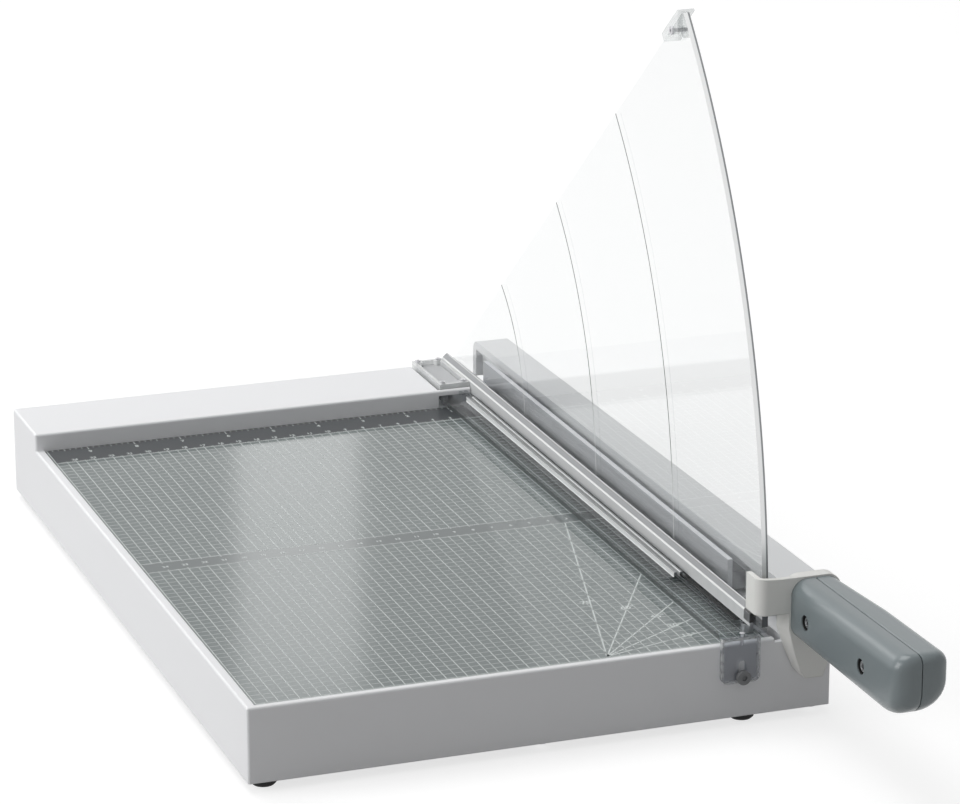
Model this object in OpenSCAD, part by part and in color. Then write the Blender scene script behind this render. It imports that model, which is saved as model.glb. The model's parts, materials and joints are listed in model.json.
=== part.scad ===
// Table-top paper trimmer with a lever blade, a clear guard fan and a clear press bar.
// X runs across the bed, with zero on the cutting line and plus X on the lever's side.
// Y runs away from the user, with zero on the front line of the printed grid.
// Z runs up, with zero on the printed surface. placed() then moves the whole object so
// that its origin lies under the middle of its box, on the table.

/* [Bed and base] */
// Width of the printed bed, from the cutting line to the left border line
print_w = 250.75; // [200:0.25:420]
// Depth of the bed, from the front line of the grid to the rear ledge
bed_len = 383.7; // [330:0.1:500]
// Thickness of the printed steel bed
bed_t = 2; // [1.5:0.1:3]
// Width of the rim left of the bed
side_rim = 5.75; // [4:0.25:12]
// Width of the rim in front of the bed
front_rim = 5; // [4:0.5:10]
// Width of the deck right of the cutting line, under the lever
deck_w = 29; // [28.8:0.1:34]
// Height of the rim above the printed surface
rim_lift = 0.5; // [0.3:0.1:0.6]
// Height of the base from its underside to its rim
base_h = 36.5; // [35:0.5:60]
// Depth of the rear ledge
ledge_depth = 49.3; // [46:0.1:60]
// Height of the rear ledge above the rim
ledge_rise = 9; // [8.5:0.1:12]
// Wall of the base housing
wall_t = 2.5; // [2:0.1:3]
// Thickness of the housing's top under the bed
deck_t = 3; // [2.5:0.1:4]
// Thickness of the ribs inside the base
rib_t = 2; // [1.5:0.1:2.4]
// Radius of the base's edges
edge_r = 1.2; // [0.5:0.1:2]
// Thickness of the bottom plate
bottom_t = 1.5; // [1:0.1:2]
// Diameter of a foot
foot_d = 12; // [10:0.5:16]
// Height of a foot
foot_h = 4.5; // [4:0.1:8]
// Distance of the feet from the front, back and left sides of the base
foot_in = 10; // [9:0.5:20]
// Distance of the right feet from the cutting line
foot_right = 12; // [10:0.5:30]

/* [Blade and knife] */
// Width of the slot that the blade drops into
slot_w = 4.5; // [3.5:0.1:4.8]
// Thickness of the fixed knife at the bed's edge
knife_t = 3; // [2.5:0.1:4]
// Height of the fixed knife
knife_h = 12; // [9:0.5:14]
// Thickness of the blade
blade_t = 2.5; // [2:0.1:2.7]
// Gap between the blade and the fixed knife
blade_gap = 0.3; // [0.3:0.05:0.5]
// Depth of the blade's edge below the bed when the lever is down
blade_drop = 14; // [12.5:0.5:15]
// Height of the blade's back above the bed when the lever is down
blade_back = 20.3; // [17:0.1:21]
// Distance of the blade's front end from the front line of the grid
blade_front = 52; // [48:1:60]

/* [Lever] */
// Distance of the pivot from the back of the base
pivot_in = 32; // [29:0.5:33]
// Height of the pivot above the bed
pivot_z = 4; // [4:0.1:5]
// Diameter of the pivot bolt
pivot_d = 8; // [6:0.5:9]
// Distance of the lever's left face from the cutting line
lever_x = 8; // [7.8:0.1:8.2]
// Width of the lever at its rear end
lever_w_rear = 18.4; // [18:0.1:18.6]
// Width of the lever at its front end
lever_w_front = 21.2; // [20.5:0.1:22]
// Height of the lever's underside above the bed
lever_z = 1.5; // [1.5:0.1:2]
// Height of the lever's side at its rear end
lever_h_rear = 20; // [19.5:0.1:21]
// Height of the lever's side at its front end
lever_h_front = 22.5; // [22:0.1:24]
// Wall of the lever
lever_t = 2.5; // [2:0.1:2.7]
// Height of the lever's lip at its rear end
lip_h_rear = 4.8; // [4:0.1:5]
// Height of the lever's lip at its front end
lip_h_front = 5.6; // [4.8:0.1:6]
// Radius of the corner at the lever's rear end
lever_corner = 6; // [4:0.5:7]
// Height of the blade holder's bar
holder_h = 9; // [8:0.5:10]

/* [Handle] */
// Length of the handle along its top
handle_len = 114; // [100:1:130]
// Height of the handle
handle_h = 30.3; // [28:0.1:32]
// Height of the handle's top above the bed
handle_top = 31.5; // [31:0.1:32]
// Distance of the handle's joint line from the cutting line
handle_x = 17; // [16.8:0.1:17.4]
// Half of the handle's width at its rear end
handle_half_rear = 12.5; // [12:0.1:13]
// Width of the handle's left half at its nose
handle_half_left = 12.5; // [12:0.1:13]
// Width of the handle's right half at its nose
handle_half_front = 14.5; // [14.4:0.1:16]
// Thickness of the knuckle guard's collar
collar_t = 6.7; // [6:0.1:8]
// Thickness of the steel tang inside the handle
tang_t = 4; // [3:0.5:5]
// Height of the steel tang
tang_h = 10; // [8:0.5:10]

/* [Guard fan] */
// Thickness of the clear fan
fan_t = 3; // [2.5:0.1:3.2]
// Distance of the fan's left face from the cutting line
fan_x = 7.3; // [7.1:0.1:7.5]
// Reach of the fan's rim past the front line of the grid
fan_reach = 6.5; // [6:0.1:6.8]
// Angle of the fan's upper edge above the bed
fan_angle = 39; // [37:0.5:40]
// Distance of the fan's upper edge from the pivot
fan_edge = 22.7; // [21.5:0.1:23.5]

/* [Press bar] */
// Height of the press bar above the bed at rest
press_gap = 4.3; // [4.2:0.1:4.5]
// Thickness of the press bar
press_t = 2; // [1.8:0.1:2.2]
// Distance of the press bar's left edge from the cutting line
press_x = 28.7; // [28:0.1:30]
// Length of the flat finger pad at the press bar's front
pad_len = 74; // [60:1:90]
// Depth that the front bracket hangs below the press bar's top
bracket_h = 24.3; // [24:0.1:26]

/* [Hidden] */
$fn = 64;

// Clearance between pieces that move or are slid together
fit = 0.3;
// Running clearance of the pivot, on the radius
run = 0.05;
// Overrun of every cut
over = 1;

// Outer faces of the base
x_left = -(print_w + side_rim);
x_right = deck_w;
y_front = -front_rim;
y_back = bed_len + ledge_depth;
z_rim = rim_lift;
z_bot = rim_lift - base_h;
z_ledge = rim_lift + ledge_rise;

// Bed plate, and the narrow gap that runs round it
rim_share = 0.174;
front_share = 0.26;
bed_x0 = x_left + side_rim - side_rim * rim_share;
bed_x1 = -knife_t - fit;
bed_y0 = -front_rim * front_share;
bed_y1 = bed_len - fit;
seat_z = -bed_t;
deck_under = seat_z - deck_t;

// Pivot, ends of the lever and of the handle, and the middle of the whole object
pivot_y = y_back - pivot_in;
collar_y1 = y_front - fit;
collar_y0 = collar_y1 - collar_t;
handle_y0 = collar_y0 - handle_len;
frame_x = -(x_left + handle_x + handle_half_front) / 2;
frame_y = -(y_back + handle_y0) / 2;
frame_z = foot_h - z_bot;

// Common screws: shank, head, socket, boss and depth
screw_d = 2.5;
hole_d = screw_d + 2 * fit;
head_d = 6;
head_t = 2;
socket_share = 0.42;
deep_share = 0.6;
boss_d = 9;
bore_deep = 10;

// Pivot hardware and its bracket
web_in = 4;
web_x = lever_x + web_in;
washer_t = 0.8;
washer_d = 15;
pivot_head_d = 13;
pivot_head_t = 3;
nut_t = 3.5;
bush_wall = 2;
lug_wall = 3;
bracket_t = 4;
bracket_r = 10;
bracket_reach = 13;
bracket_foot_t = 3;
bracket_x0 = web_x + lever_t + fit + washer_t;
bracket_bolt_d = 4;
bracket_bolt_in = 4;
bracket_bolt_y = 8;
bracket_head_d = 6.4;
bracket_head_t = 2.6;
bracket_bolt_len = 8;

// Bay behind the pivot, open at the back, that the lever's tail swings down into
bay_clear = 0.6;
bay_share = 0.15;
bay_deep = 24;
bay_x0 = lever_x - bay_clear;
bay_x1 = lever_x + lever_w_rear + (lever_w_front - lever_w_rear) * bay_share + fit;
bay_y0 = pivot_y - bracket_reach - 2 * over;
bay_z = -bay_deep;
bay_floor = 5;

// Slot of the blade, with the rail that carries the fixed knife
slot_floor = 3;
slot_deep = blade_drop + slot_floor;
slot_y1 = pivot_y - fit;
slot_notch = 1.5;
rail_w = 6;
knife_shares = [0.06, 0.24, 0.42, 0.60, 0.78, 0.94];
knife_places = [for (s = knife_shares) bed_y0 + (bed_y1 - bed_y0) * s];
knife_screw_len = 8;

// Cross-section of the press bar: flat, upright wall before the fan, and two ridges
press_z1 = press_gap + press_t;
upright_w = 3.2;
upright_x1 = -fan_x - fit;
upright_x0 = upright_x1 - upright_w;
upright_low = 6;
upright_high = 8.9;
ridge_w = 1.6;
ridge_h = 2.2;
ridge_gap = 3;
ridge_in = 7.4;
ridge_x = upright_x0 - ridge_in;
pad_edge = 2;
pad_deep = 0.4;
rubber_t = 0.6;
rubber_w = 6;
press_travel = press_gap - rubber_t - fit;

// Pocket in the ledge that the tray and the bar's rear end move in
pocket_gap = 0.9;
pocket_x0 = -press_x - pocket_gap;
pocket_x1 = -fan_x + fan_t + pocket_gap;
ledge_lip = 2;
notch_z = press_z1 + fit;

// Springs, guide pins and guide screw of the press bar
spring_d = 6;
spring_wall = 0.8;
front_spring_y = 10;
rear_spring_share = 0.56;
rear_spring_x = -press_x * rear_spring_share;
rear_spring_y = bed_len + ledge_depth / 2;
pin_d = 4;
pin_share = 0.76;
pin_x = -press_x * pin_share;
pin_shares = [0.27, 0.75];
pin_y = [for (s = pin_shares) bed_len + ledge_depth * s];
pin_top = press_gap + press_t / 2;
pin_sink = pin_top + fit - press_z1 + press_travel;
guide_share = 0.64;
guide_x = -press_x + (press_x - upright_w - fan_x - fit) * guide_share;
guide_drop = 15;
guide_d = 3.6;
guide_head_d = 7;
guide_head_t = 2.2;

// Places of the feet and of the bottom plate's screws
foot_x0 = x_left + foot_in;
foot_places = [for (x = [foot_x0, -foot_right], y = [y_front + foot_in,
    y_back - foot_in]) [x, y]];
screw_in = wall_t + boss_d / 2;
mid_x = (x_left + x_right) / 2;
mid_y = (y_front + y_back) / 2;
bottom_places = [[x_left + screw_in, mid_y], [x_right - screw_in, mid_y],
    [mid_x, y_front + screw_in], [mid_x, y_back - screw_in],
    [x_right - screw_in, y_front + screw_in], [mid_x, mid_y]];
foot_hole_d = 7;
foot_floor = 1.6;
foot_dome = 1;
rib_shares = [0.2, 0.4, 0.6, 0.8];

module placed() {
    translate([frame_x, frame_y, frame_z]) children();
}

module block(x0, x1, y0, y1, z0, z1) {
    translate([x0, y0, z0]) cube([x1 - x0, y1 - y0, z1 - z0]);
}

// A rod along X, along Y and along Z
module rod_x(x0, x1, y, z, d) {
    translate([x0, y, z]) rotate([0, 90, 0]) cylinder(d = d, h = x1 - x0);
}

module rod_y(x, y0, y1, z, d) {
    translate([x, y1, z]) rotate([90, 0, 0]) cylinder(d = d, h = y1 - y0);
}

module rod_z(x, y, z0, z1, d) {
    translate([x, y, z0]) cylinder(d = d, h = z1 - z0);
}

// An outline in Y and Z drawn along X, and one in X and Z drawn along Y
module slab_x(points, x0, x1) {
    translate([x0, 0, 0]) rotate([90, 0, 90]) linear_extrude(x1 - x0) polygon(points);
}

module slab_y(points, y0, y1) {
    translate([0, y1, 0]) rotate([90, 0, 0]) linear_extrude(y1 - y0) polygon(points);
}

module round_rect(x0, x1, y0, y1, r) {
    translate([x0 + r, y0]) square([x1 - x0 - 2 * r, y1 - y0]);
    translate([x0, y0 + r]) square([x1 - x0, y1 - y0 - 2 * r]);
    for (x = [x0 + r, x1 - r], y = [y0 + r, y1 - r]) translate([x, y]) circle(r = r);
}

// A block with rounded upright edges and rounded top edges
module soft_block(x0, x1, y0, y1, z0, z1, r) {
    intersection() {
        translate([0, 0, z0]) linear_extrude(z1 - z0) round_rect(x0, x1, y0, y1, r);
        translate([0, y1, 0]) rotate([90, 0, 0]) linear_extrude(y1 - y0)
            round_rect(x0, x1, z0 - 2 * r, z1, r);
        translate([x0, 0, 0]) rotate([90, 0, 90]) linear_extrude(x1 - x0)
            round_rect(y0, y1, z0 - 2 * r, z1, r);
    }
}

// A screw whose head stands on z = 0 and whose shank points down
module screw(d, hd, ht, len) {
    difference() {
        union() {
            cylinder(d = hd, h = ht);
            translate([0, 0, -len]) cylinder(d = d, h = len + ht / 2);
        }
        translate([0, 0, ht - ht * deep_share])
            cylinder(d = hd * socket_share, h = ht, $fn = 6);
    }
}

// A countersunk screw with its head flush at z = 0, and the seat that it fits
module flush_screw(d, hd, len) {
    rotate_extrude() polygon([[0, 0], [hd / 2, 0], [d / 2, (d - hd) / 2],
        [d / 2, -len], [0, -len]]);
}

module flush_seat(d, hd, len) {
    rotate_extrude() polygon([[0, over], [hd / 2 + fit, over], [hd / 2 + fit, 0],
        [d / 2 + fit, (d - hd) / 2], [d / 2 + fit, -len], [0, -len]]);
}

// Turn a screw so that its shank points to plus X, to minus X, to plus Y or up
module to_plus_x(x, y, z) {
    translate([x, y, z]) rotate([0, -90, 0]) children();
}

module to_minus_x(x, y, z) {
    translate([x, y, z]) rotate([0, 90, 0]) children();
}

module to_plus_y(x, y, z) {
    translate([x, y, z]) rotate([90, 0, 0]) children();
}

module to_up(x, y, z) {
    translate([x, y, z]) rotate([180, 0, 0]) children();
}

// The base
function boss_top(p) = p[1] > bed_len && p[0] < pocket_x0
    ? z_ledge - deck_t / 2 : deck_under + deck_t / 2;

bracket_places = [for (x = [bay_x0 + bracket_bolt_in, bay_x1 - bracket_bolt_in],
    y = [pivot_y - bracket_bolt_y, pivot_y + bracket_bolt_y]) [x, y]];

module base_shell() {
    difference() {
        union() {
            soft_block(x_left, x_right, y_front, y_back, z_bot, z_rim, edge_r);
            soft_block(x_left, 0, bed_len, y_back, z_bot, z_ledge, edge_r);
        }
        block(x_left + wall_t, x_right - wall_t, y_front + wall_t, y_back - wall_t,
            z_bot - over, deck_under);
        block(x_left + wall_t, pocket_x0 - wall_t, bed_len + wall_t, y_back - wall_t,
            deck_under - over, z_ledge - deck_t);
    }
    for (s = rib_shares) {
        block(x_left + wall_t / 2, x_right - wall_t / 2, bed_len * s,
            bed_len * s + rib_t, z_bot + bottom_t, deck_under + deck_t / 2);
        block(x_left * s, x_left * s + rib_t, y_front + wall_t / 2,
            y_back - wall_t / 2, z_bot + bottom_t, deck_under + deck_t / 2);
    }
    block(-rail_w - knife_t, 0, y_front + wall_t / 2, bed_len + wall_t,
        -slot_deep, seat_z);
    block(slot_w, slot_w + rib_t, y_front + wall_t / 2, bay_y0, -slot_deep, seat_z);
    block(bay_x0 - rib_t, x_right - wall_t / 2, bay_y0 - rib_t, y_back - wall_t / 2,
        bay_z - bay_floor, seat_z);
    for (p = foot_places) rod_z(p[0], p[1], z_bot + bottom_t, boss_top(p), boss_d);
    for (p = bottom_places) rod_z(p[0], p[1], z_bot + bottom_t, boss_top(p), boss_d);
}

module base_housing() {
    color([0.93, 0.93, 0.92]) placed() difference() {
        base_shell();
        block(bed_x0 - fit, over, bed_y0 - fit, bed_len, seat_z, z_rim + over);
        block(-knife_t, over, bed_y0 - fit, bed_len, -knife_h, seat_z + over);
        block(0, slot_w, bed_y0 - fit, slot_y1, -slot_deep, z_rim + over);
        block(0, slot_w, y_front - over, bed_y0, -slot_notch, z_rim + over);
        for (y = knife_places)
            rod_x(-knife_screw_len - fit, 0, y, -knife_h / 2, screw_d);
        block(bay_x0, bay_x1, bay_y0, y_back + over, bay_z, z_rim + over);
        for (p = bracket_places)
            rod_z(p[0], p[1], bay_z - bay_floor - over, bay_z + over, bracket_bolt_d);
        block(pocket_x0, pocket_x1, bed_len + ledge_lip, y_back + over, seat_z,
            z_ledge + over);
        block(pocket_x0, pocket_x1, bed_len - over, bed_len + ledge_lip + over,
            seat_z, notch_z);
        block(upright_x0 - pocket_gap / 2, pocket_x1, bed_len - over,
            bed_len + ledge_lip + over, seat_z, z_ledge + over);
        for (p = concat(foot_places, bottom_places))
            rod_z(p[0], p[1], z_bot, z_bot + bottom_t + bore_deep, screw_d);
        for (y = pin_y) rod_z(pin_x, y, deck_under - over, seat_z + over, pin_d);
        rod_y(guide_x, y_front - over, y_front + wall_t + over, -guide_drop, screw_d);
    }
}

module bed_plate() {
    color([0.62, 0.65, 0.65]) placed() difference() {
        block(bed_x0, bed_x1, bed_y0, bed_y1, seat_z, 0);
        rod_z(upright_x1, front_spring_y, seat_z - over, over, spring_d + 2 * fit);
    }
}

module bottom_plate() {
    color([0.3, 0.3, 0.32]) placed() difference() {
        block(x_left + wall_t + fit, x_right - wall_t - fit, y_front + wall_t + fit,
            y_back - wall_t - fit, z_bot, z_bot + bottom_t);
        for (p = concat(foot_places, bottom_places))
            rod_z(p[0], p[1], z_bot - over, z_bot + bottom_t + over, hole_d);
    }
}

module bottom_screws() {
    color("silver") placed() for (p = bottom_places) to_up(p[0], p[1], z_bot)
        screw(screw_d, head_d, head_t, bore_deep);
}

module feet() {
    color([0.07, 0.07, 0.07]) placed() for (p = foot_places)
        translate([p[0], p[1], z_bot - foot_h]) rotate_extrude() polygon([
            [foot_hole_d / 2, 0], [foot_d / 2 - foot_dome, 0], [foot_d / 2, foot_dome],
            [foot_d / 2, foot_h], [hole_d / 2, foot_h], [hole_d / 2, foot_h - foot_floor],
            [foot_hole_d / 2, foot_h - foot_floor]]);
}

module foot_screws() {
    color("silver") placed() for (p = foot_places)
        to_up(p[0], p[1], z_bot - foot_floor) screw(screw_d, head_d, head_t, bore_deep);
}

module bed_knife() {
    color([0.72, 0.73, 0.75]) placed() difference() {
        block(-knife_t, 0, bed_y0, bed_y1, -knife_h, 0);
        for (y = knife_places) to_minus_x(0, y, -knife_h / 2)
            flush_seat(screw_d, head_d, knife_t + over);
    }
}

module knife_screws() {
    color("silver") placed() for (y = knife_places) to_minus_x(0, y, -knife_h / 2)
        flush_screw(screw_d, head_d, knife_screw_len);
}

module pivot_bracket() {
    color([0.55, 0.56, 0.58]) placed() difference() {
        union() {
            block(bracket_x0, bracket_x0 + bracket_t, pivot_y - bracket_reach,
                pivot_y + bracket_reach, bay_z, pivot_z - bracket_r);
            block(bracket_x0, bracket_x0 + bracket_t, pivot_y - bracket_r,
                pivot_y + bracket_r, bay_z, pivot_z);
            rod_x(bracket_x0, bracket_x0 + bracket_t, pivot_y, pivot_z, 2 * bracket_r);
            block(bay_x0 + fit, bay_x1 - fit, pivot_y - bracket_reach,
                pivot_y + bracket_reach, bay_z, bay_z + bracket_foot_t);
        }
        rod_x(bracket_x0 - over, bracket_x0 + bracket_t + over, pivot_y, pivot_z,
            pivot_d);
        for (p = bracket_places) rod_z(p[0], p[1], bay_z - over,
            bay_z + bracket_foot_t + over, bracket_bolt_d + fit);
    }
}

module bracket_bolts() {
    color("silver") placed() for (p = bracket_places)
        translate([p[0], p[1], bay_z + bracket_foot_t])
            screw(bracket_bolt_d, bracket_head_d, bracket_head_t, bracket_bolt_len);
}

module pivot_bolt() {
    color([0.75, 0.76, 0.78]) placed() {
        translate([web_x - fit - washer_t - pivot_head_t, pivot_y, pivot_z])
            rotate([0, 90, 0]) cylinder(d = pivot_head_d, h = pivot_head_t, $fn = 6);
        rod_x(web_x - fit - washer_t - pivot_head_t / 2,
            bracket_x0 + bracket_t + nut_t + fit, pivot_y, pivot_z, pivot_d);
    }
}

module washer(x) {
    difference() {
        rod_x(x, x + washer_t, pivot_y, pivot_z, washer_d);
        rod_x(x - over, x + washer_t + over, pivot_y, pivot_z, pivot_d);
    }
}

module pivot_washers() {
    color("silver") placed() {
        washer(web_x - fit - washer_t);
        washer(bracket_x0 - washer_t);
    }
}

module pivot_nut() {
    color("silver") placed() difference() {
        translate([bracket_x0 + bracket_t, pivot_y, pivot_z]) rotate([0, 90, 0])
            cylinder(d = pivot_head_d, h = nut_t, $fn = 6);
        rod_x(bracket_x0 + bracket_t - over, bracket_x0 + bracket_t + nut_t + over,
            pivot_y, pivot_z, pivot_d);
    }
}

// The screw in the front wall that the front bracket slides on
module guide_screw() {
    color("silver") placed() difference() {
        to_plus_y(guide_x, y_front, -guide_drop) rotate_extrude() polygon([
            [0, bracket_t0 + 2 * fit + guide_head_t],
            [guide_head_d / 2 - fit, bracket_t0 + 2 * fit + guide_head_t],
            [guide_head_d / 2, bracket_t0 + fit + guide_head_t],
            [guide_head_d / 2, bracket_t0 + 2 * fit], [guide_d / 2, bracket_t0 + 2 * fit],
            [guide_d / 2, 0], [screw_d / 2, 0], [screw_d / 2, -bore_deep / 2],
            [0, -bore_deep / 2]]);
        to_plus_y(guide_x, y_front - bracket_t0 - 2 * fit - guide_head_t * deep_share,
            -guide_drop) cylinder(d = guide_head_d * socket_share,
                h = guide_head_t, $fn = 6);
    }
}

module guide_pins() {
    color("silver") placed() for (y = pin_y)
        rod_z(pin_x, y, deck_under, pin_top, pin_d);
}

module spring_at(x, y) {
    difference() {
        rod_z(x, y, seat_z, press_gap, spring_d);
        rod_z(x, y, seat_z - over, press_gap + over, spring_d - 2 * spring_wall);
    }
}

module front_spring() {
    color([0.6, 0.6, 0.62]) placed() spring_at(upright_x1, front_spring_y);
}

module rear_spring() {
    color([0.6, 0.6, 0.62]) placed() spring_at(rear_spring_x, rear_spring_y);
}

// The lever
lever_y0 = collar_y1;
lever_y1 = y_back;
lever_top0 = lever_z + lever_h_front;
lever_top1 = lever_z + lever_h_rear;
lip_t = 2;
frame_t = 5;
corner_steps = 12;
lug_d = pivot_d + 2 * bush_wall + 2 * lug_wall;

module lever_body() {
    arc = [for (i = [0 : corner_steps]) [
        lever_y1 - lever_corner + lever_corner * sin(90 * i / corner_steps),
        lever_top1 - lever_corner + lever_corner * cos(90 * i / corner_steps)]];
    intersection() {
        translate([0, 0, lever_z]) linear_extrude(lever_h_front) polygon([
            [lever_x, lever_y0], [lever_x + lever_w_front, lever_y0],
            [lever_x + lever_w_rear, lever_y1], [lever_x, lever_y1]]);
        slab_x(concat([[lever_y1, lever_z], [lever_y0, lever_z],
            [lever_y0, lever_top0]], arc), lever_x - over,
            lever_x + lever_w_front + over);
    }
}

module lever_hollow() {
    intersection() {
        translate([0, 0, -over]) linear_extrude(lever_top0) polygon([
            [web_x + lever_t, lever_y0 - over],
            [lever_x + lever_w_front - lever_t, lever_y0 - over],
            [lever_x + lever_w_rear - lever_t, lever_y1 - lever_t],
            [web_x + lever_t, lever_y1 - lever_t]]);
        slab_x([[lever_y1, -over], [lever_y0 - over, -over],
            [lever_y0 - over, lever_top0 - lever_t], [lever_y1, lever_top1 - lever_t]],
            web_x, lever_x + lever_w_front);
    }
}

holder_in = 6;
holder_y0 = blade_front + holder_in;
holder_y1 = bay_y0 - over;
holder_shares = [0.06, 0.34, 0.62, 0.9];
holder_places = [for (s = holder_shares) holder_y0 + (holder_y1 - holder_y0) * s];
tang_y1 = 34;
roof_fall = (lever_top1 - lever_top0) * (tang_y1 - lever_y0) / (lever_y1 - lever_y0);
tang_z0 = lever_top0 + roof_fall - lever_t - fit - tang_h;
tang_mid = tang_z0 + tang_h / 2;
tang_bolt_y = [8, 25];
tang_bolt_d = 4;

module lever_channel() {
    color([0.8, 0.81, 0.82]) placed() difference() {
        union() {
            difference() {
                lever_body();
                lever_hollow();
                slab_x([[lever_y0 - over, -over],
                    [lever_y0 - over, lever_top0 - lip_h_front],
                    [lever_y1 - frame_t, lever_top1 - lip_h_rear],
                    [lever_y1 - frame_t, -over]], lever_x - over, web_x);
                slab_x([[lever_y0 - over, 0], [lever_y0 - over, lever_top0 - lever_t],
                    [lever_y1 - frame_t, lever_top1 - lever_t],
                    [lever_y1 - frame_t, 0]], lever_x + lip_t, web_x);
            }
            rod_x(web_x, web_x + lever_t, pivot_y, pivot_z, lug_d);
        }
        rod_x(web_x - over, web_x + lever_t + over, pivot_y, pivot_z,
            pivot_d + 2 * bush_wall);
        for (y = holder_places) rod_x(web_x - over, web_x + lever_t + over, y,
            holder_z + holder_h / 2, screw_d);
        for (y = tang_bolt_y) rod_x(web_x - over, web_x + lever_t + over, y, tang_mid,
            tang_bolt_d);
    }
}

module pivot_bush() {
    color([0.72, 0.58, 0.32]) placed() difference() {
        rod_x(web_x, web_x + lever_t, pivot_y, pivot_z, pivot_d + 2 * bush_wall);
        rod_x(web_x - over, web_x + lever_t + over, pivot_y, pivot_z,
            pivot_d + 2 * run);
    }
}

// The blade and the bar that carries it
blade_x1 = blade_gap + blade_t;
holder_z = lever_z + over;
blade_y1 = pivot_y - holder_in;
blade_head_d = 5;
blade_shares = [0.2, 0.48, 0.76, 0.96];
blade_places = [for (s = blade_shares) holder_y0 + (holder_y1 - holder_y0) * s];

module blade_holder() {
    color([0.45, 0.46, 0.48]) placed() difference() {
        block(blade_x1, web_x, holder_y0, holder_y1, holder_z, holder_z + holder_h);
        for (y = holder_places) {
            rod_x(blade_x1 - over, web_x + over, y, holder_z + holder_h / 2, hole_d);
            rod_x(blade_x1 - over, blade_x1 + head_t + fit, y,
                holder_z + holder_h / 2, head_d + 2 * fit);
        }
        for (y = blade_places) rod_x(blade_x1 - over, web_x - over, y,
            holder_z + holder_h / 2, screw_d);
    }
}

module holder_screws() {
    color("silver") placed() for (y = holder_places)
        to_plus_x(blade_x1 + head_t + fit, y, holder_z + holder_h / 2)
            screw(screw_d, head_d, head_t, web_x + lever_t - blade_x1 - head_t - 2 * fit);
}

blade_tip_shares = [0.35, 0.4];

module blade() {
    color([0.6, 0.61, 0.63]) placed() difference() {
        slab_x([[blade_y1, blade_back], [blade_front, blade_back],
            [blade_front, -blade_drop * blade_tip_shares[0]],
            [blade_front + blade_drop * blade_tip_shares[1], -blade_drop],
            [blade_y1, -blade_drop]], blade_gap, blade_x1);
        for (y = blade_places) to_plus_x(blade_gap, y, holder_z + holder_h / 2)
            flush_seat(screw_d, blade_head_d, blade_t + over);
    }
}

module blade_screws() {
    color("silver") placed() for (y = blade_places)
        to_plus_x(blade_gap, y, holder_z + holder_h / 2)
            flush_screw(screw_d, blade_head_d, web_x - blade_gap - over - fit);
}

// The knuckle guard: a collar behind the handle, a plate that hangs before the base,
// and a hook that runs round the fan's rim
guard_x0 = 3.7;
guard_x1 = 30;
guard_z0 = 6;
guard_z1 = 32.2;
guard_drop = 18.5;
guard_r = 7;
guard_top_z = 16;
guard_skin = 1;
guard_back_x = [0.6, 0.6, 4.5, 9.2, 12.5, 22.5, 26.5, 30, 30];
guard_front_x = [3.9, 4.2, 6.9, 10.5, 13, 21.8, 24.5, 28, 28];
guard_z_shares = [0, 0.27, 0.58, 0.89, 1, 1, 0.78, 0.4, 0];
hook_x0 = 12;
hook_t = 2.8;
hook_front_t = 3;
hook_z0 = 15;
hook_z1 = 33;
hook_back = 14;
hook_r = 5;
hook_dip = 0.8;

function guard_plate(places) = [for (i = [0 : len(places) - 1])
    [places[i], guard_top_z - (guard_top_z + guard_drop) * guard_z_shares[i]]];

module hook_plan(x0, x1, y0, y1, r) {
    translate([x0 + r, y0]) square([x1 - x0 - r, y1 - y0]);
    translate([x0, y0 + r]) square([x1 - x0, y1 - y0 - r]);
    translate([x0 + r, y0 + r]) circle(r = r);
}

module knuckle_guard() {
    color([0.9, 0.9, 0.87]) placed() difference() {
        union() {
            intersection() {
                translate([0, collar_y1, 0]) rotate([90, 0, 0]) linear_extrude(collar_t)
                    round_rect(guard_x0, guard_x1, guard_z0, guard_z1, guard_r);
                translate([0, 0, guard_z0 - over]) linear_extrude(guard_z1)
                    round_rect(guard_x0, guard_x1, collar_y0, collar_y1, over);
            }
            hull() {
                slab_y(guard_plate(guard_back_x), collar_y1 - guard_skin, collar_y1);
                slab_y(guard_plate(guard_front_x), collar_y0, collar_y0 + guard_skin);
            }
            difference() {
                intersection() {
                    translate([0, 0, hook_z0]) linear_extrude(hook_z1 - hook_z0)
                        hook_plan(-hook_x0, guard_x0 + guard_r, collar_y0,
                            collar_y0 + hook_back, hook_r);
                    slab_y([[-hook_x0, hook_z0], [guard_x0 + guard_r, hook_z0],
                        [guard_x0 + guard_r, guard_z1], [0, hook_z1 - hook_dip],
                        [-hook_x0 / 2, hook_z1 - hook_dip / 2], [-hook_x0, hook_z1]],
                        collar_y0, collar_y0 + hook_back);
                }
                translate([0, 0, hook_z0 - over])
                    linear_extrude(hook_z1 - hook_z0 + 2 * over)
                        hook_plan(hook_t - hook_x0, guard_x0 + guard_r + over,
                            collar_y0 + hook_front_t, collar_y0 + hook_back + over,
                            hook_r - hook_t);
            }
        }
        block(handle_x - tang_t / 2, handle_x + tang_t / 2, collar_y0 - over,
            collar_y1 + over, tang_z0, tang_z0 + tang_h);
    }
}

// The handle: a steel tang between two halves, held by two screws and nuts
tang_front = 12;
grip_shares = [0.138, 0.668];
grip_places = [for (s = grip_shares) collar_y0 - handle_len * s];
grip_head_d = 8;
grip_head_t = 3;
grip_deep = 6;
grip_d = 4;
seam = 0.15;
top_r = 8;
low_r = 8;
nose_r = 9;
nose_back = 9.6;
nose_lift = 0.8;
swell_share = 0.4;
swell_half = 14.4;

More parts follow.
